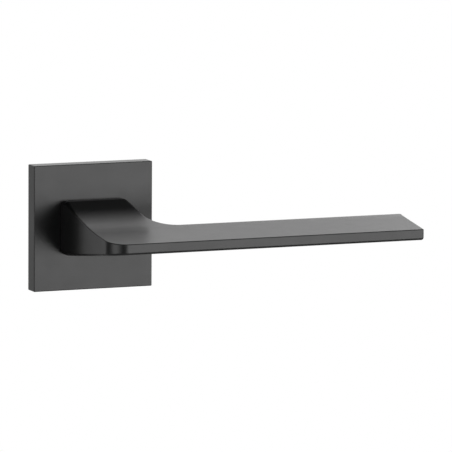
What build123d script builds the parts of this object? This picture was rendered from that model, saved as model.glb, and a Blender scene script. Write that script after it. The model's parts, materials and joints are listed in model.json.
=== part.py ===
from build123d import *
import math
import os

# Door lever handle on a slim square rose: one handle set for one side of a door.
# Every piece is drawn with x along the lever, y up and z away from the door face, and is turned
# into the part's own frame when it is written: +X along the lever, +Y into the door and +Z up.
# The origin is on the spindle axis, in the plane of the door face. Lengths are in millimetres and
# angles in degrees.

# Rose: a square cap that snaps over the base plate.
rose_size = 52.0
rose_thickness = 6.7
rose_corner_radius = 0.4
rose_edge_rounding = 0.35
rose_front_wall = 1.0
rose_side_wall = 1.0

# Neck of the lever, where it stands on the rose.
neck_gap = 0.3
neck_width = 28.7
neck_width_at_front = 26.6
neck_height = 22.3
neck_corner_radius = 2.4
neck_straight = 3.0
neck_root_margin = 1.5
neck_top_bend_radius = 60.0
neck_to_blade_radius = 12.5

# Blade of the lever.
lever_projection = 61.0
lever_reach = 124.6
blade_width = 23.7
blade_top_slope = 8.2
blade_top_length = 22.5
blade_axis_drop = 0.12
blade_front_height = 4.38
blade_back_thickness = 4.95
blade_corner_radius = 7.5
blade_tip_radius = 0.9
blade_edge_rounding = 0.45
blade_lower_rounding = 1.0
underside_blend = 6.0
underside_lip = 3.0
underside_side_step = 0.6

# Boss of the lever: a collar in the rose, a keyed step for the drive ring and a journal.
collar_radius = 9.3
key_flat_half = 8.1
key_length = 1.1
journal_radius = 7.5
boss_tail = 0.8

# Spindle and the screw that clamps it.
spindle_side = 8.0
edge_chamfer = 0.4
spindle_seat_gap = 0.5
spindle_socket_depth = 17.0
spindle_rear_length = 45.0
grub_radius = 3.0
grub_length = 5.5
grub_distance = 15.0
grub_socket_across = 3.0
grub_socket_depth = 2.4

# Base plate with the spring pocket and the bearing hub.
plate_side_gap = 2.0
plate_thickness = 2.4
plate_corner_radius = 3.0
hub_top = 3.4
hub_wall = 1.0
web_rear = 1.95
spring_room = 2.7
pocket_wall = 0.8
pocket_floor = 0.9
pocket_wall_top = 4.05

# Bearing bush and guide ring, both of acetal.
bush_wall = 1.1
bush_flange_radius = 10.2
bush_flange_thickness = 0.65
guide_wall = 0.95
guide_flange_width = 0.65
guide_flange_thickness = 0.33

# Washers and circlip behind the web of the base plate.
washer_radius = 10.3
slip_washer_thickness = 0.3
disc_spring_thickness = 0.25
disc_spring_height = 0.45
circlip_thickness = 1.0
circlip_width = 2.1
circlip_opening = 40.0
circlip_ear_radius = 1.3
circlip_eye_radius = 0.7
groove_depth = 0.6

# Drive ring and its stops.
drive_ring_thickness = 1.0
drive_ring_radius = 14.7
ear_tip_radius = 17.8
ear_width = 5.0
stop_width = 3.0
stop_gap = 0.2
turn_down = 45.0

# Return spring of round wire.
spring_wire = 1.2
spring_turns = 1.5
spring_coil_gap = 0.05
spring_start_angle = 20.0
spring_bend = 0.7
spring_leg_play = 0.1

# Support lugs and through bolts, above and below the spindle.
bolt_edge_distance = 4.0
bolt_radius = 2.0
bolt_shank_radius = 1.75
bolt_head_radius = 3.75
bolt_length = 40.0
bolt_cross_width = 1.1
bolt_cross_depth = 1.3
lug_radius = 3.5
lug_length = 8.0
lug_seat_depth = 0.1
lug_spigot_radius = 2.9
lug_spigot_length = 0.6

# Wood screws in the corners of the base plate.
screw_edge_distance = 6.0
screw_radius = 1.75
screw_shank_radius = 1.25
screw_tip_radius = 0.2
screw_head_radius = 3.4
screw_length = 16.0
screw_tip_length = 3.0
screw_cross_width = 0.9
screw_cross_depth = 1.1

# Spring clips that hold the rose.
clip_offset = 8.8
clip_width = 6.0
clip_sheet = 0.5
clip_foot = 3.0
clip_peg_radius = 0.9
clip_bulge_height = 1.6

# Clearances.
head_recess = 0.1
running_gap = 0.03
seat_gap = 0.02
side_gap = 0.3
axial_gap = 0.05
hole_gap = 0.15
thread_gap = 0.5

# Places that follow from the sizes above.
neck_base = rose_thickness + neck_gap
neck_shoulder = neck_base + neck_straight
neck_run = lever_projection - neck_shoulder
blade_slope = math.tan(math.radians(blade_top_slope))
blade_top_end = blade_top_length * blade_slope - blade_axis_drop
neck_bend = lever_projection - blade_top_length
neck_slope = (neck_height / 2 - blade_top_end) / (neck_bend - neck_shoulder)
blade_back = lever_projection - blade_width
root_end = blade_back - neck_to_blade_radius - neck_root_margin
blade_bottom = -blade_axis_drop - blade_front_height
lip_distance = lever_projection - underside_lip
rose_back = rose_thickness - rose_front_wall
rose_inside = rose_size / 2 - rose_side_wall
plate_half = rose_inside - plate_side_gap
bolt_height = plate_half - bolt_edge_distance
screw_offset = plate_half - screw_edge_distance
head_top = plate_thickness - head_recess
key_rear = hub_top + bush_flange_thickness + 2 * axial_gap
key_front = key_rear + key_length
bush_inner = journal_radius + running_gap
bush_radius = bush_inner + bush_wall
plate_bore_radius = bush_radius + seat_gap
recess_radius = washer_radius + side_gap
hub_radius = recess_radius + hub_wall
pocket_radius = hub_radius + spring_room
pocket_outer = pocket_radius + pocket_wall
coil_radius = (hub_radius + pocket_radius) / 2
coil_pitch = spring_wire + spring_coil_gap
spring_end_angle = spring_start_angle + 360 * spring_turns
leg_hole_radius = spring_wire / 2 + spring_leg_play
guide_inner = collar_radius + running_gap
guide_outer = guide_inner + guide_wall
rose_bore_radius = guide_outer + seat_gap
drive_ring_rear = key_rear + axial_gap
drive_ring_front = drive_ring_rear + drive_ring_thickness
peg_top = plate_thickness + clip_sheet
spindle_front = neck_base + spindle_socket_depth
groove_start = axial_gap
groove_end = groove_start + circlip_thickness + 2 * axial_gap


def ring(outer, inner, start, end):
    """A flat ring about the spindle axis, between two distances from the door face."""
    plan = Circle(outer) - Circle(inner)
    return Pos(0, 0, start) * extrude(plan, amount=end - start)


def disc(radius, start, end):
    """A round bar or hole about the spindle axis, between two distances from the door face."""
    return Pos(0, 0, start) * extrude(Circle(radius), amount=end - start)


def around(angle, shape):
    return Rot(0, 0, angle) * shape


def neck_half(distance):
    """Half the width of the neck at a distance from the door face."""
    share = (distance - neck_shoulder) / neck_run
    return (neck_width + (neck_width_at_front - neck_width) * share) / 2


def neck_bottom(distance):
    """Height of the straight underside of the neck."""
    share = (distance - neck_shoulder) / neck_run
    return -neck_height / 2 + (blade_bottom + neck_height / 2) * share


def corner(outline, x, y):
    return outline.vertices().sort_by_distance((x, y, 0))[0]


def neck_top(distance):
    """Height of the straight top of the neck."""
    return neck_height / 2 - (distance - neck_shoulder) * neck_slope


def side_profile():
    """The lever seen from its end, in front of the root: z from the door, y up."""
    profile = make_face(
        Polyline(
            (root_end, neck_top(root_end)),
            (neck_bend, blade_top_end),
            (lever_projection, -blade_axis_drop),
            (lever_projection, blade_bottom),
            (root_end, neck_bottom(root_end)),
            close=True,
        )
    )
    return fillet(corner(profile, neck_bend, blade_top_end), neck_top_bend_radius)


def along_lever(profile, length):
    """Extrudes a (distance, height) profile along the lever, to both sides of the spindle axis."""
    upright = Plane(origin=(length, 0, 0), x_dir=(0, 0, 1), z_dir=(-1, 0, 0))
    return extrude(upright * profile, amount=2 * length)


def from_above(outline, height):
    """Extrudes an (x, distance) outline up and down."""
    level = Plane(origin=(0, height, 0), x_dir=(1, 0, 0), z_dir=(0, -1, 0))
    return extrude(level * outline, amount=2 * height)


def lever_outline():
    """The lever seen from above: the neck, then the blade, with its rounded corners."""
    outline = make_face(
        Polyline(
            (-neck_half(root_end), root_end),
            (-neck_half(lever_projection), lever_projection),
            (lever_reach, lever_projection),
            (lever_reach, blade_back),
            (neck_half(blade_back), blade_back),
            (neck_half(root_end), root_end),
            close=True,
        )
    )
    front_left = corner(outline, -neck_half(lever_projection), lever_projection)
    outline = fillet(front_left, blade_corner_radius)
    inside = corner(outline, neck_half(blade_back), blade_back)
    outline = fillet(inside, neck_to_blade_radius)
    outline = fillet(corner(outline, lever_reach, lever_projection), blade_tip_radius)
    return fillet(corner(outline, lever_reach, blade_back), blade_tip_radius)


def underside_tool():
    """The space under the blade and beside the neck, with a round inner edge."""
    lip_height = neck_bottom(lip_distance)
    back_height = blade_width * blade_slope - blade_axis_drop - blade_back_thickness
    slope = (back_height - lip_height) / (blade_width - underside_lip)
    below = make_face(
        Polyline(
            (lever_projection, lip_height - underside_lip * slope),
            (neck_base, lip_height + (lip_distance - neck_base) * slope),
            (neck_base, -neck_height),
            (lever_projection, -neck_height),
            close=True,
        )
    )
    beside = make_face(
        Polyline(
            (neck_half(neck_base) + underside_side_step, neck_base),
            (neck_half(lever_projection) + underside_side_step, lever_projection),
            (lever_reach + blade_width, lever_projection),
            (lever_reach + blade_width, neck_base),
            close=True,
        )
    )
    tool = along_lever(below, 2 * lever_reach) & from_above(beside, neck_height)
    beside_neck = tool.edges().group_by(Axis.X)[0] + tool.edges().group_by(Axis.X)[1]
    return fillet(beside_neck.sort_by(Axis.Y)[-1], underside_blend)


def edges_at_root(body):
    return body.faces().sort_by(Axis.Z)[0].edges()


def grip():
    """The neck in front of its foot and the blade, in one piece, with rounded edges."""
    body = along_lever(side_profile(), 2 * lever_reach) & from_above(lever_outline(), neck_height)
    lower = body.faces().filter_by(lambda face: face.normal_at().Y < 0).sort_by(SortBy.AREA)[-1]
    body = fillet(lower.edges() - edges_at_root(body), blade_lower_rounding)
    body -= underside_tool()
    return fillet(body.edges() - edges_at_root(body), blade_edge_rounding)


def neck_foot(front_section):
    """The foot of the neck: straight at the rose, then its round corners run out to the front."""
    foot = RectangleRounded(neck_width, neck_height, neck_corner_radius).face()
    straight = Pos(0, 0, neck_base) * extrude(foot, amount=neck_straight)
    return straight + loft([Pos(0, 0, neck_shoulder) * foot, front_section])


def boss():
    """Collar in the rose, keyed step for the drive ring, journal and circlip groove."""
    shape = disc(collar_radius, key_front, neck_base)
    keyed = disc(collar_radius, key_rear, key_front)
    keyed &= Box(2 * collar_radius, 2 * key_flat_half, 2 * neck_base)
    shape += keyed
    shape += disc(journal_radius, -boss_tail, key_rear)
    groove = ring(collar_radius, journal_radius - groove_depth, groove_start, groove_end)
    return shape - groove


def spindle_socket():
    side = spindle_side + 2 * hole_gap
    return Pos(0, 0, -boss_tail) * extrude(Rectangle(side, side), amount=boss_tail + spindle_front)


def lever_handle():
    body = grip()
    body += neck_foot(body.faces().sort_by(Axis.Z)[0])
    body += boss()
    body -= spindle_socket()
    thread = extrude(Circle(grub_radius + running_gap), amount=neck_height)
    return body - Pos(0, 0, grub_distance) * Rot(90, 0, 0) * thread


def spindle():
    """Square bar, from its seat in the neck to its free end inside the door."""
    length = spindle_front - spindle_seat_gap + spindle_rear_length
    bar = extrude(Rectangle(spindle_side, spindle_side), amount=length)
    bar = Pos(0, 0, -spindle_rear_length) * bar
    ends = bar.faces().sort_by(Axis.Z)
    return chamfer(ends[0].edges() + ends[-1].edges(), edge_chamfer)


def grub_screw():
    """Set screw in the underside of the neck, with its flat point on the spindle."""
    screw = extrude(Circle(grub_radius), amount=grub_length)
    screw = chamfer(screw.edges(), edge_chamfer)
    socket = RegularPolygon(grub_socket_across / 2, 6, major_radius=False)
    screw -= Pos(0, 0, grub_length - grub_socket_depth) * extrude(socket, amount=grub_socket_depth)
    return Pos(0, -spindle_side / 2, grub_distance) * Rot(90, 0, 0) * screw


def rose_cover():
    """Thin square cap, open at the door, with a round hole for the guide ring."""
    shell = extrude(RectangleRounded(rose_size, rose_size, rose_corner_radius), amount=rose_thickness)
    shell = fillet(shell.faces().sort_by(Axis.Z)[-1].edges(), rose_edge_rounding)
    shell -= extrude(Rectangle(2 * rose_inside, 2 * rose_inside), amount=rose_back)
    return shell - disc(rose_bore_radius, 0, rose_thickness)


def guide_ring():
    """Plastic ring in the hole of the rose, with its flange behind the front wall."""
    sleeve = ring(guide_outer, guide_inner, rose_back, rose_thickness)
    flange_rear = rose_back - guide_flange_thickness
    return sleeve + ring(guide_outer + guide_flange_width, guide_inner, flange_rear, rose_back)


def at_corners(shape):
    """Copies at the four wood screws."""
    sides = (-screw_offset, screw_offset)
    return [Pos(x, y, 0) * shape for x in sides for y in sides]


def above_and_below(shape):
    """Copies at the two through bolts."""
    return [Pos(0, y, 0) * shape for y in (-bolt_height, bolt_height)]


def countersunk(radius, head_radius, end, top):
    """A countersunk shape, from its end up to the top of its flat head."""
    depth = head_radius - radius
    head = Pos(0, 0, top - depth / 2) * Cone(radius, head_radius, depth)
    return disc(radius, end, top - depth) + head


def cross_recess(width, depth, head_radius):
    bar = Box(head_radius, width, depth) + Box(width, head_radius, depth)
    return Pos(0, 0, head_top - depth / 2) * bar


def spring_leg(angle, beyond):
    """Where a leg of the spring stands: beyond the end of the coil, along its tangent."""
    turn = math.radians(angle)
    x = coil_radius * math.cos(turn) - beyond * math.sin(turn)
    y = coil_radius * math.sin(turn) + beyond * math.cos(turn)
    return x, y


def ear_stop(turn, side):
    """A block that lies flat against one side of the ear when the ear has turned this far."""
    length = ear_tip_radius - pocket_outer + hole_gap
    height = key_front - plate_thickness
    offset = side * (ear_width / 2 + stop_gap + stop_width / 2)
    place = Pos(pocket_outer + length / 2 - seat_gap, offset, plate_thickness + height / 2)
    return around(turn, place * Box(length, stop_width, height))


def base_plate():
    """Cast plate with the bearing hub, the spring pocket, the stops and the screw holes."""
    outline = RectangleRounded(2 * plate_half, 2 * plate_half, plate_corner_radius)
    plate = extrude(outline, amount=plate_thickness)
    plate += disc(pocket_outer, 0, pocket_wall_top)
    plate += ear_stop(180, 1)
    plate += ear_stop(180 - turn_down, -1)
    plate -= ring(pocket_radius, hub_radius, pocket_floor, pocket_wall_top)
    plate -= disc(hub_radius, hub_top, pocket_wall_top)
    plate -= disc(recess_radius, 0, web_rear)
    plate -= disc(plate_bore_radius, 0, hub_top)
    rear_leg = Pos(*spring_leg(spring_start_angle, -spring_bend), 0)
    plate -= rear_leg * disc(leg_hole_radius, 0, pocket_floor)
    bolt_head = bolt_head_radius + hole_gap
    screw_head = screw_head_radius + hole_gap
    bolt_hole = countersunk(bolt_radius + hole_gap, bolt_head, 0, plate_thickness)
    lug_seat = disc(lug_radius + seat_gap, 0, lug_seat_depth)
    lug_seat += disc(lug_spigot_radius + seat_gap, 0, lug_spigot_length)
    screw_hole = countersunk(screw_radius + hole_gap, screw_head, 0, plate_thickness)
    plate -= above_and_below(bolt_hole) + above_and_below(lug_seat) + at_corners(screw_hole)
    pegs = [place * disc(clip_peg_radius, plate_thickness, peg_top) for place in clip_places()]
    return plate + pegs


def support_lug(height):
    """Sleeve on the back of the base plate that enters the door, with the bolt through it."""
    lug = disc(lug_radius, -lug_length, lug_seat_depth)
    lug += disc(lug_spigot_radius, lug_seat_depth, lug_spigot_length)
    lug = chamfer(lug.faces().sort_by(Axis.Z)[0].edges(), edge_chamfer)
    bore = disc(bolt_radius + hole_gap, -lug_length, lug_spigot_length)
    return Pos(0, height, 0) * (lug - bore)


def through_bolts():
    """Countersunk bolts, threaded behind the lugs."""
    thread_start = -lug_length - thread_gap
    bolt = countersunk(bolt_shank_radius, bolt_head_radius, thread_start, head_top)
    bolt += disc(bolt_radius, head_top - bolt_length, thread_start)
    return above_and_below(bolt - cross_recess(bolt_cross_width, bolt_cross_depth, bolt_head_radius))


def wood_screws():
    """Countersunk screws, threaded behind the base plate."""
    screw = countersunk(screw_shank_radius, screw_head_radius, -thread_gap, head_top)
    tip_start = head_top - screw_length
    screw += disc(screw_radius, tip_start, -thread_gap)
    tip = Cone(screw_tip_radius, screw_radius, screw_tip_length)
    screw += Pos(0, 0, tip_start - screw_tip_length / 2) * tip
    return at_corners(screw - cross_recess(screw_cross_width, screw_cross_depth, screw_head_radius))


def bearing_bush():
    sleeve = ring(bush_radius, bush_inner, web_rear, hub_top)
    return sleeve + ring(bush_flange_radius, bush_inner, hub_top, hub_top + bush_flange_thickness)


def drive_ring():
    """Steel ring keyed on the boss; its ear carries the stops' load, its hole the spring's leg."""
    key = Circle(collar_radius + running_gap)
    key &= Rectangle(2 * drive_ring_radius, 2 * (key_flat_half + running_gap))
    ear = Pos(-ear_tip_radius / 2, 0) * Rectangle(ear_tip_radius, ear_width)
    leg_hole = Pos(*spring_leg(spring_end_angle, spring_bend)) * Circle(leg_hole_radius)
    plan = Circle(drive_ring_radius) + ear - key - leg_hole
    return Pos(0, 0, drive_ring_rear) * extrude(plan, amount=drive_ring_thickness)


def return_spring():
    """Torsion spring: its rear leg stands in the base plate and its front leg in the drive ring."""
    start = pocket_floor + axial_gap + spring_wire / 2
    helix = Helix(coil_pitch, spring_turns * coil_pitch, coil_radius)
    coil = Pos(0, 0, start) * Rot(0, 0, spring_start_angle) * helix
    rear = spring_leg(spring_start_angle, -spring_bend)
    front = spring_leg(spring_end_angle, spring_bend)
    rear_leg = Line((*rear, axial_gap), (*rear, start - spring_bend))
    front_leg = Line((*front, (coil @ 1).Z + spring_bend), (*front, drive_ring_front))
    rear_bend = TangentArc(rear_leg @ 1, coil @ 0, tangent=rear_leg % 1)
    front_bend = TangentArc(coil @ 1, front_leg @ 0, tangent=coil % 1)
    spans = (rear_leg, rear_bend, coil, front_bend, front_leg)
    centre_line = Wire([span.edge() for span in spans])
    section = Plane(origin=centre_line @ 0, z_dir=centre_line % 0) * Circle(spring_wire / 2)
    return sweep(section, path=centre_line)


def slip_washer():
    rear = web_rear - axial_gap - slip_washer_thickness
    return ring(washer_radius, journal_radius + side_gap / 2, rear, rear + slip_washer_thickness)


def disc_spring():
    """Conical spring washer between the slip washer and the circlip."""
    inner = journal_radius + side_gap / 2
    front = web_rear - 2 * axial_gap - slip_washer_thickness
    rear = front - disc_spring_height
    profile = Polyline(
        (inner, rear),
        (inner, rear + disc_spring_thickness),
        (washer_radius, front),
        (washer_radius, front - disc_spring_thickness),
        close=True,
    )
    return revolve(Plane.XZ * make_face(profile), Axis.Z)


def circlip():
    """Open ring in the groove of the journal, with an eye at each end."""
    inner = journal_radius - groove_depth + seat_gap
    outer = inner + circlip_width
    plan = Circle(outer)
    half_opening = math.radians(circlip_opening / 2)
    ends = [Vector(math.cos(angle), math.sin(angle)) for angle in (-half_opening, half_opening)]
    plan -= make_face(Polyline((0, 0), *[end * 2 * outer for end in ends], close=True))
    for end in ends:
        place = end * (inner + circlip_width / 2)
        eye = Pos(place.X, place.Y)
        plan += eye * Circle(circlip_ear_radius)
        plan -= eye * Circle(circlip_eye_radius)
    plan -= Circle(inner)
    return Pos(0, 0, groove_start + axial_gap) * extrude(plan, amount=circlip_thickness)


def clip_seat():
    """Distance from the spindle axis to the pegs of the clips."""
    return plate_half - clip_foot + clip_peg_radius


def clip_places():
    """The seats of the clips on the upper and lower edges of the base plate, each facing out."""
    return [
        Rot(0, 0, turn) * Pos(x, clip_seat(), 0)
        for turn in (0, 180)
        for x in (-clip_offset, clip_offset)
    ]


def cover_clip(place):
    """Sheet spring staked on the base plate, with its bulge against the side wall of the rose."""
    top = plate_thickness + clip_sheet / 2
    reach = rose_inside - hole_gap - clip_sheet / 2 - clip_seat()
    edge = plate_half + side_gap + clip_sheet / 2 - clip_seat()
    path = Polyline(
        (-clip_peg_radius - clip_sheet, top),
        (edge, top),
        (reach, top - clip_bulge_height / 2),
        (edge, top - clip_bulge_height),
    )
    strip = trace(path, clip_sheet)
    upright = Plane(origin=(-clip_width / 2, 0, 0), x_dir=(0, 1, 0), z_dir=(1, 0, 0))
    clip = extrude(upright * strip, amount=clip_width)
    peg_hole = disc(clip_peg_radius + seat_gap, 0, rose_thickness)
    return place * (clip - peg_hole)


def pieces():
    yield "lever_handle", lever_handle()
    yield "spindle", spindle()
    yield "grub_screw", grub_screw()
    yield "drive_ring", drive_ring()
    yield "circlip", circlip()
    yield "disc_spring", disc_spring()
    yield "slip_washer", slip_washer()
    yield "rose_cover", rose_cover()
    yield "guide_ring", guide_ring()
    yield "base_plate", base_plate()
    yield "bearing_bush", bearing_bush()
    yield "return_spring", return_spring()
    yield "through_bolts", through_bolts()
    yield "wood_screws", wood_screws()
    yield "support_lug_upper", support_lug(bolt_height)
    yield "support_lug_lower", support_lug(-bolt_height)
    for number, place in enumerate(clip_places(), start=1):
        yield f"cover_clip_{number}", cover_clip(place)


def write(name, shape):
    """Turns a piece from the drawing's frame into the part's frame and writes it."""
    solids = shape if isinstance(shape, list) else [shape]
    turned = [Rot(90, 0, 0) * solid for piece in solids for solid in piece.solids()]
    whole = turned[0] if len(turned) == 1 else Compound(children=turned)
    export_step(whole, f"parts/{name}.step")


os.makedirs("parts", exist_ok=True)
for node, shape in pieces():
    write(node, shape)
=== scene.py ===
import json
import math

import bmesh
import bpy
from mathutils import Matrix, Vector


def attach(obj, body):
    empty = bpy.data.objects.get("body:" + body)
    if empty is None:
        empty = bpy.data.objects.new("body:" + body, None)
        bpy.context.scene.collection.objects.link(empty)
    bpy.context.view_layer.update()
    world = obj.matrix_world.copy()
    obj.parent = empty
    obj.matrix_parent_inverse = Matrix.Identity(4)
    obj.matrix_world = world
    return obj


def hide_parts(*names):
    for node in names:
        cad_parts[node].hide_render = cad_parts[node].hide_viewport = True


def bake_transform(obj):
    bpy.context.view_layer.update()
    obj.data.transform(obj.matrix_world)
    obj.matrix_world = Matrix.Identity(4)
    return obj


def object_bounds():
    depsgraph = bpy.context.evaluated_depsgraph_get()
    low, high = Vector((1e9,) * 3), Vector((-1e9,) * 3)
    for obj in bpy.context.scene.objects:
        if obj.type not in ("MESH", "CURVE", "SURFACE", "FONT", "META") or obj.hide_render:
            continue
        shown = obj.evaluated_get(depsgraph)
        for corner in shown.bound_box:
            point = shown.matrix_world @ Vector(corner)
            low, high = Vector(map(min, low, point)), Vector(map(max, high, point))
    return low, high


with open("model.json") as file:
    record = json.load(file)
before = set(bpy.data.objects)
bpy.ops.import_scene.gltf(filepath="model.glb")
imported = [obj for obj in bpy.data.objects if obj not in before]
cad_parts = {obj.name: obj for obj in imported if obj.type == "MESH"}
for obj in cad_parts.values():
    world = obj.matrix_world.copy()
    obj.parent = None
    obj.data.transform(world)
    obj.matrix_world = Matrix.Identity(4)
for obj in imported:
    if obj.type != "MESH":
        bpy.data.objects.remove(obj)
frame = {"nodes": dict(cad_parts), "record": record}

cad_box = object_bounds()
nodes = frame["nodes"]
slots = {part["node"]: part["material_slot"] for part in frame["record"]["subparts"]}

MM = 0.001

# Camera: a long lens, a little above the lever and well to its left.
CAMERA_AZIMUTH = math.radians(-22.72)
CAMERA_ELEVATION = math.radians(7.789)
CAMERA_ROLL = math.radians(0.352)
CAMERA_DISTANCE = 2341.1 * MM
CAMERA_TARGET = Vector((61.854, 0.0, -3.639)) * MM
CAMERA_LENS = 448.2
CAMERA_SENSOR = 36.0
CAMERA_REACH = 100.0

# Materials: noise scales in cells per metre, grain depths in metres, roughness from low to high.
NOISE_RANGE = (0.3, 0.7)
EVEN = (1.0, 1.0, 1.0)
BRUSHED_ALONG_Y = (1.0, 0.06, 1.0)
BLACK = {
    "dark": (0.0020, 0.0021, 0.0023), "light": (0.0028, 0.0028, 0.0030), "colour_scale": 45.0,
    "roughness": (0.29, 0.32), "gloss_scale": 140.0, "grain_scale": 3200.0, "grain_depth": 4e-6,
}
ACETAL = {
    "dark": (0.70, 0.70, 0.66), "light": (0.76, 0.76, 0.72), "colour_scale": 90.0,
    "roughness": (0.38, 0.46), "gloss_scale": 300.0, "grain_scale": 1800.0, "grain_depth": 3e-6,
}
METAL_COLOUR_SCALE = 160.0
METAL_GLOSS_SCALE = 420.0
METALS = {
    "zinc_plated_steel": {
        "dark": (0.50, 0.51, 0.53), "light": (0.66, 0.67, 0.70), "roughness": (0.24, 0.36),
        "grain_scale": 2400.0, "grain_depth": 3e-6, "stretch": BRUSHED_ALONG_Y,
    },
    "spring_steel": {
        "dark": (0.20, 0.20, 0.21), "light": (0.30, 0.30, 0.31), "roughness": (0.28, 0.42),
        "grain_scale": 2600.0, "grain_depth": 3e-6, "stretch": EVEN,
    },
    "blackened_steel": {
        "dark": (0.03, 0.03, 0.032), "light": (0.05, 0.05, 0.053), "roughness": (0.34, 0.46),
        "grain_scale": 2600.0, "grain_depth": 3e-6, "stretch": EVEN,
    },
    "zinc_casting": {
        "dark": (0.33, 0.34, 0.35), "light": (0.46, 0.47, 0.48), "roughness": (0.42, 0.58),
        "grain_scale": 900.0, "grain_depth": 2e-5, "stretch": EVEN,
    },
}

# Threads of the fasteners, in metres: where they start, taper and end, their radii and pitch, and
# the share of the radius that is left at the tip. The form is places along one pitch, each with 0
# at the core and 1 at the crest.
BOLT_THREAD = {
    "start": 8.5 * MM, "cone": 37.2 * MM, "end": 37.7 * MM,
    "core": 1.57 * MM, "crest": 2.0 * MM, "tip": 0.8, "pitch": 0.7 * MM,
}
SCREW_THREAD = {
    "start": 0.5 * MM, "cone": 13.7 * MM, "end": 16.7 * MM,
    "core": 1.15 * MM, "crest": 1.75 * MM, "tip": 0.12, "pitch": 1.5 * MM,
}
BOLT_AXES = ((0.0, 19.0 * MM), (0.0, -19.0 * MM))
SCREW_AXES = tuple((x * MM, z * MM) for x in (17.0, -17.0) for z in (17.0, -17.0))
THREAD_SIDES = 24
THREAD_FORM = ((0.0, 0.0), (0.12, 0.0), (0.46, 1.0), (0.62, 1.0))
SHANK_MARGIN = 0.1 * MM
THREAD_ROOT = 0.2 * MM

# Meshes: points closer than this are one, and edges sharper than this stay sharp.
WELD = 1e-7
SHARP_ANGLE = math.radians(28.0)

# Studio: white walls with three darker gaps, a dim ceiling, a pale floor below the handle and five
# softboxes. Lengths in metres and powers in watts; azimuths, elevations and the gaps' widths in
# degrees, with azimuths from the front to the right; the ceiling by the height of the view's
# direction.
FLOOR_DROP = 0.6
FLOOR_SIZE = 40.0
FLOOR_COLOUR = (0.66, 0.66, 0.66, 1.0)
FLOOR_ROUGHNESS = 0.9
FLOOR_WHITE_FROM = 1.9
FLOOR_WHITE_TO = 2.9
WALL_COLOUR = (1.0, 1.0, 1.0, 1.0)
CEILING_START = 0.36
CEILING_END = 0.70
CEILING_LEVEL = 0.13
BACK_GAP = {"middle": -165.0, "half": 10.0, "edge": 8.0, "level": 0.35}
FRONT_GAP = {"middle": -8.0, "half": 16.0, "edge": 7.0, "level": 0.08}
SIDE_GAP = {"middle": -116.0, "half": 24.0, "edge": 40.0, "level": 0.15}
SOFTBOXES = {
    "right": {
        "azimuth": 33.0, "elevation": -4.0, "distance": 1.7, "width": 1.24, "height": 0.80, "power": 8.1,
    },
    "upper": {
        "azimuth": 26.0, "elevation": 24.0, "distance": 1.7, "width": 0.90, "height": 0.60, "power": 2.6,
    },
    "left": {
        "azimuth": -60.0, "elevation": -3.0, "distance": 1.7, "width": 1.2, "height": 0.7, "power": 3.2,
    },
    "back": {
        "azimuth": 141.0, "elevation": 27.0, "distance": 4.0, "width": 1.1, "height": 1.1, "power": 7.6,
    },
    "top": {
        "azimuth": 156.0, "elevation": 41.0, "distance": 4.0, "width": 1.5, "height": 1.5, "power": 11.0,
    },
}


# ---- nodes of a material -------------------------------------------------------------------

def new_material(name):
    """A material with only an output and a Principled shader; returns (material, tree, shader)."""
    material = bpy.data.materials.new(name)
    material.use_nodes = True
    tree = material.node_tree
    tree.nodes.clear()
    output = tree.nodes.new("ShaderNodeOutputMaterial")
    shader = tree.nodes.new("ShaderNodeBsdfPrincipled")
    tree.links.new(shader.outputs["BSDF"], output.inputs["Surface"])
    return material, tree, shader


def noise(tree, scale, detail, stretch=EVEN):
    """Noise in the part's own frame."""
    place = tree.nodes.new("ShaderNodeTexCoord")
    mapping = tree.nodes.new("ShaderNodeMapping")
    mapping.inputs["Scale"].default_value = stretch
    texture = tree.nodes.new("ShaderNodeTexNoise")
    texture.inputs["Scale"].default_value = scale
    texture.inputs["Detail"].default_value = detail
    tree.links.new(place.outputs["Object"], mapping.inputs["Vector"])
    tree.links.new(mapping.outputs["Vector"], texture.inputs["Vector"])
    return texture.outputs["Fac"]


def ramp(tree, factor, dark, light):
    """Two colours blended by noise."""
    node = tree.nodes.new("ShaderNodeValToRGB")
    for element, place, colour in zip(node.color_ramp.elements, NOISE_RANGE, (dark, light)):
        element.position = place
        element.color = (*colour, 1.0)
    tree.links.new(factor, node.inputs["Fac"])
    return node.outputs["Color"]


def spread(tree, factor, values):
    """Noise mapped to a range of values."""
    node = tree.nodes.new("ShaderNodeMapRange")
    node.inputs["From Min"].default_value, node.inputs["From Max"].default_value = NOISE_RANGE
    node.inputs["To Min"].default_value, node.inputs["To Max"].default_value = values
    tree.links.new(factor, node.inputs["Value"])
    return node.outputs["Result"]


def bump(tree, shader, height, depth):
    """A fine grain of this depth on the shader's normal."""
    node = tree.nodes.new("ShaderNodeBump")
    node.inputs["Strength"].default_value = 1.0
    node.inputs["Distance"].default_value = depth
    tree.links.new(height, node.inputs["Height"])
    tree.links.new(node.outputs["Normal"], shader.inputs["Normal"])


# ---- materials -----------------------------------------------------------------------------

def satin_black():
    """Fine satin lacquer on the lever and the rose."""
    material, tree, shader = new_material("satin_black")
    colour = ramp(tree, noise(tree, BLACK["colour_scale"], detail=3.0), BLACK["dark"], BLACK["light"])
    tree.links.new(colour, shader.inputs["Base Color"])
    gloss = spread(tree, noise(tree, BLACK["gloss_scale"], detail=4.0), BLACK["roughness"])
    tree.links.new(gloss, shader.inputs["Roughness"])
    bump(tree, shader, noise(tree, BLACK["grain_scale"], detail=2.0), BLACK["grain_depth"])
    return material


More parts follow.
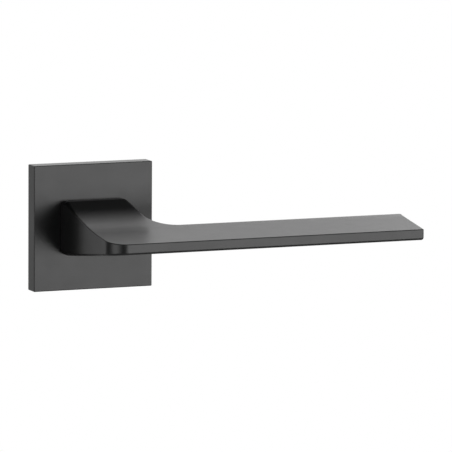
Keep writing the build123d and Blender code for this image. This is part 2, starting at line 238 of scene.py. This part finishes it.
def metal(name):
    """Bare or plated metal with uneven colour, gloss and a fine grain."""
    kind = METALS[name]
    material, tree, shader = new_material(name)
    colour = ramp(tree, noise(tree, METAL_COLOUR_SCALE, detail=4.0), kind["dark"], kind["light"])
    tree.links.new(colour, shader.inputs["Base Color"])
    uneven = noise(tree, METAL_GLOSS_SCALE, detail=4.0, stretch=kind["stretch"])
    tree.links.new(spread(tree, uneven, kind["roughness"]), shader.inputs["Roughness"])
    shader.inputs["Metallic"].default_value = 1.0
    grain = noise(tree, kind["grain_scale"], detail=3.0, stretch=kind["stretch"])
    bump(tree, shader, grain, kind["grain_depth"])
    return material


def acetal():
    """Natural acetal: white and waxy."""
    material, tree, shader = new_material("acetal")
    colour = ramp(tree, noise(tree, ACETAL["colour_scale"], detail=2.0), ACETAL["dark"], ACETAL["light"])
    tree.links.new(colour, shader.inputs["Base Color"])
    gloss = spread(tree, noise(tree, ACETAL["gloss_scale"], detail=3.0), ACETAL["roughness"])
    tree.links.new(gloss, shader.inputs["Roughness"])
    bump(tree, shader, noise(tree, ACETAL["grain_scale"], detail=2.0), ACETAL["grain_depth"])
    return material


def make_materials():
    """The material of each slot of the record."""
    black = satin_black()
    return {
        "lever_coat": black,
        "rose_coat": black,
        "zinc_casting": metal("zinc_casting"),
        "zinc_steel": metal("zinc_plated_steel"),
        "spring_steel": metal("spring_steel"),
        "black_steel": metal("blackened_steel"),
        "acetal": acetal(),
    }


def finish_nodes(materials):
    """Each CAD node gets the material of its slot."""
    for name, piece in nodes.items():
        piece.data.materials.clear()
        piece.data.materials.append(materials[slots[name]])


# ---- threads -------------------------------------------------------------------------------

def thread_radius(thread, depth, form):
    """Radius at a depth behind the door face: the form is 0 at the core and 1 at the crest."""
    taper = min(max((depth - thread["cone"]) / (thread["end"] - thread["cone"]), 0.0), 1.0)
    size = 1.0 + (thread["tip"] - 1.0) * taper
    return size * (thread["core"] + (thread["crest"] - thread["core"]) * form)


def add_thread(shape, thread, axis):
    """A rod with a right-hand helical thread round this (x, z) axis, closed at both ends."""
    turns = int((thread["end"] - thread["start"]) / thread["pitch"]) + 2
    rows = []
    for turn in range(-1, turns):
        for place, form in THREAD_FORM:
            row = []
            for side in range(THREAD_SIDES):
                depth = thread["start"] + (turn + place + side / THREAD_SIDES) * thread["pitch"]
                inside = thread["start"] < depth < thread["end"]
                depth = min(max(depth, thread["start"]), thread["end"])
                radius = thread_radius(thread, depth, form if inside else 0.0)
                angle = 2.0 * math.pi * side / THREAD_SIDES
                across = axis[0] + radius * math.sin(angle)
                up = axis[1] + radius * math.cos(angle)
                row.append(shape.verts.new((across, depth, up)))
            rows.append(row)
    step = len(THREAD_FORM)
    for near, far in zip(rows, rows[1:]):
        for side in range(THREAD_SIDES - 1):
            shape.faces.new((near[side], near[side + 1], far[side + 1], far[side]))
    for low in range(len(rows) - step - 1):
        high = low + step
        shape.faces.new((rows[low][-1], rows[high][0], rows[high + 1][0], rows[low + 1][-1]))


def node_shape(cad):
    """A copy of a CAD node's mesh with its points welded, to cut and to add to."""
    shape = bmesh.new()
    shape.from_mesh(cad.data)
    bmesh.ops.transform(shape, matrix=cad.matrix_world, verts=shape.verts)
    bmesh.ops.remove_doubles(shape, verts=shape.verts, dist=WELD)
    return shape


def close_holes(shape):
    """A face over each open rim."""
    bmesh.ops.holes_fill(shape, edges=[edge for edge in shape.edges if edge.is_boundary])


def finished_piece(name, shape, cad):
    """An object of this shape with the CAD node's material, smooth but for its edges."""
    mesh = bpy.data.meshes.new(name)
    shape.to_mesh(mesh)
    shape.free()
    mesh.polygons.foreach_set("use_smooth", [True] * len(mesh.polygons))
    mesh.set_sharp_from_angle(angle=SHARP_ANGLE)
    mesh.materials.append(cad.active_material)
    piece = bpy.data.objects.new(name, mesh)
    bpy.context.scene.collection.objects.link(piece)
    return piece


def threaded(name, node, thread, axes):
    """The CAD fasteners with their plain threaded part cut off and a cut thread in its place."""
    cad = nodes[node]
    shape = node_shape(cad)
    everything = shape.verts[:] + shape.edges[:] + shape.faces[:]
    bmesh.ops.bisect_plane(
        shape, geom=everything, clear_outer=True,
        plane_co=(0.0, thread["start"] - SHANK_MARGIN, 0.0), plane_no=(0.0, 1.0, 0.0))
    close_holes(shape)
    for axis in axes:
        add_thread(shape, dict(thread, start=thread["start"] - THREAD_ROOT), axis)
    bmesh.ops.remove_doubles(shape, verts=shape.verts, dist=WELD)
    bmesh.ops.dissolve_degenerate(shape, edges=shape.edges, dist=WELD)
    close_holes(shape)
    bmesh.ops.recalc_face_normals(shape, faces=shape.faces)
    piece = finished_piece(name, shape, cad)
    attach(piece, "rose")
    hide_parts(node)


# ---- return spring -------------------------------------------------------------------------

def winding_spring():
    """The return spring's CAD mesh as a piece smooth but for its edges, in place of the hidden CAD node;
    its coil runs from the leg in the plate to the leg in the drive ring.
    """
    cad = nodes["return_spring"]
    piece = finished_piece("return_spring_coil", node_shape(cad), cad)
    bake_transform(piece)
    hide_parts("return_spring")


# ---- camera, lights and floor --------------------------------------------------------------

def direction(azimuth, elevation):
    """Unit vector from the object towards a place at this azimuth and elevation."""
    level = math.cos(elevation)
    return Vector((math.sin(azimuth) * level, -math.cos(azimuth) * level, math.sin(elevation)))


def make_camera():
    """The camera, which looks at its target with a small roll."""
    back = direction(CAMERA_AZIMUTH, CAMERA_ELEVATION)
    right = Vector((math.cos(CAMERA_AZIMUTH), math.sin(CAMERA_AZIMUTH), 0.0))
    up = back.cross(right)
    axes = Matrix((right, up, back)).transposed()
    data = bpy.data.cameras.new("camera")
    data.lens = CAMERA_LENS
    data.sensor_width = CAMERA_SENSOR
    data.dof.use_dof = False
    data.clip_end = CAMERA_REACH
    camera = bpy.data.objects.new("camera", data)
    turn = axes @ Matrix.Rotation(CAMERA_ROLL, 3, "Z")
    place = Matrix.Translation(CAMERA_TARGET + back * CAMERA_DISTANCE)
    camera.matrix_world = place @ turn.to_4x4()
    bpy.context.scene.collection.objects.link(camera)
    bpy.context.scene.camera = camera


def make_softbox(name, box):
    """A large area light that faces the handle."""
    data = bpy.data.lights.new(name, "AREA")
    data.shape = "RECTANGLE"
    data.size = box["width"]
    data.size_y = box["height"]
    data.energy = box["power"]
    light = bpy.data.objects.new(name, data)
    away = direction(math.radians(box["azimuth"]), math.radians(box["elevation"]))
    light.location = away * box["distance"]
    light.rotation_euler = away.to_track_quat("Z", "Y").to_euler()
    light.visible_camera = False
    bpy.context.scene.collection.objects.link(light)


def step_between(tree, value, start, end, low, high):
    """A smooth change from low to high while the value goes from start to end."""
    node = tree.nodes.new("ShaderNodeMapRange")
    node.interpolation_type = "SMOOTHSTEP"
    node.inputs["From Min"].default_value = start
    node.inputs["From Max"].default_value = end
    node.inputs["To Min"].default_value = low
    node.inputs["To Max"].default_value = high
    tree.links.new(value, node.inputs["Value"])
    return node.outputs["Result"]


def combined(tree, operation, first, second):
    """The result of a math node on two values."""
    node = tree.nodes.new("ShaderNodeMath")
    node.operation = operation
    tree.links.new(first, node.inputs[0])
    tree.links.new(second, node.inputs[1])
    return node.outputs["Value"]


def gap(tree, azimuth, place):
    """1 away from a darker gap between the walls, and the gap's own level inside it."""
    offset = tree.nodes.new("ShaderNodeMath")
    offset.operation = "SUBTRACT"
    offset.inputs[1].default_value = math.radians(place["middle"])
    tree.links.new(azimuth, offset.inputs[0])
    size = tree.nodes.new("ShaderNodeMath")
    size.operation = "ABSOLUTE"
    tree.links.new(offset.outputs["Value"], size.inputs[0])
    inner = place["half"] - place["edge"] / 2.0
    outer = place["half"] + place["edge"] / 2.0
    return step_between(
        tree, size.outputs["Value"], math.radians(inner), math.radians(outer), place["level"], 1.0)


def walls(tree, side, depth):
    """Level of the walls in the direction of these x and y coordinates, with their three gaps."""
    front = tree.nodes.new("ShaderNodeMath")
    front.operation = "MULTIPLY"
    front.inputs[1].default_value = -1.0
    tree.links.new(depth, front.inputs[0])
    azimuth = combined(tree, "ARCTAN2", side, front.outputs["Value"])
    left = combined(tree, "MULTIPLY", gap(tree, azimuth, BACK_GAP), gap(tree, azimuth, SIDE_GAP))
    return combined(tree, "MULTIPLY", gap(tree, azimuth, FRONT_GAP), left)


def make_world():
    """The room around the handle, the same for every ray."""
    world = bpy.data.worlds.new("studio")
    bpy.context.scene.world = world
    world.use_nodes = True
    tree = world.node_tree
    tree.nodes.clear()
    output = tree.nodes.new("ShaderNodeOutputWorld")
    place = tree.nodes.new("ShaderNodeTexCoord")
    split = tree.nodes.new("ShaderNodeSeparateXYZ")
    tree.links.new(place.outputs["Generated"], split.inputs["Vector"])
    level = walls(tree, split.outputs["X"], split.outputs["Y"])
    ceiling = step_between(tree, split.outputs["Z"], CEILING_START, CEILING_END, 1.0, CEILING_LEVEL)
    room = tree.nodes.new("ShaderNodeBackground")
    room.inputs["Color"].default_value = WALL_COLOUR
    tree.links.new(combined(tree, "MULTIPLY", level, ceiling), room.inputs["Strength"])
    tree.links.new(room.outputs["Background"], output.inputs["Surface"])


def make_floor():
    """Pale floor with the handle's shadow, which runs into the walls' own level farther out."""
    height = cad_box[0][2] - FLOOR_DROP
    bpy.ops.mesh.primitive_plane_add(size=FLOOR_SIZE, location=(0.0, 0.0, height))
    floor = bpy.context.object
    floor.name = "floor"
    material, tree, shader = new_material("pale_floor")
    shader.inputs["Base Color"].default_value = FLOOR_COLOUR
    shader.inputs["Roughness"].default_value = FLOOR_ROUGHNESS
    shader.inputs["Specular IOR Level"].default_value = 0.0
    place = tree.nodes.new("ShaderNodeTexCoord")
    length = tree.nodes.new("ShaderNodeVectorMath")
    length.operation = "LENGTH"
    tree.links.new(place.outputs["Object"], length.inputs[0])
    far = step_between(tree, length.outputs["Value"], FLOOR_WHITE_FROM, FLOOR_WHITE_TO, 0.0, 1.0)
    split = tree.nodes.new("ShaderNodeSeparateXYZ")
    tree.links.new(place.outputs["Object"], split.inputs["Vector"])
    path = tree.nodes.new("ShaderNodeLightPath").outputs
    mirrored = combined(tree, "MAXIMUM", path["Is Glossy Ray"], path["Is Transmission Ray"])
    seen = combined(tree, "MAXIMUM", path["Is Camera Ray"], mirrored)
    backdrop = tree.nodes.new("ShaderNodeEmission")
    tree.links.new(walls(tree, split.outputs["X"], split.outputs["Y"]), backdrop.inputs["Strength"])
    mix = tree.nodes.new("ShaderNodeMixShader")
    tree.links.new(combined(tree, "MULTIPLY", seen, far), mix.inputs["Fac"])
    tree.links.new(shader.outputs["BSDF"], mix.inputs[1])
    tree.links.new(backdrop.outputs["Emission"], mix.inputs[2])
    tree.links.new(mix.outputs["Shader"], tree.nodes["Material Output"].inputs["Surface"])
    floor.data.materials.append(material)


make_camera()
make_world()
for name, box in SOFTBOXES.items():
    make_softbox("softbox_" + name, box)
make_floor()
finish_nodes(make_materials())
threaded("through_bolts_threaded", "through_bolts", BOLT_THREAD, BOLT_AXES)
threaded("wood_screws_threaded", "wood_screws", SCREW_THREAD, SCREW_AXES)
winding_spring()

bpy.context.scene.view_settings.view_transform = "Standard"
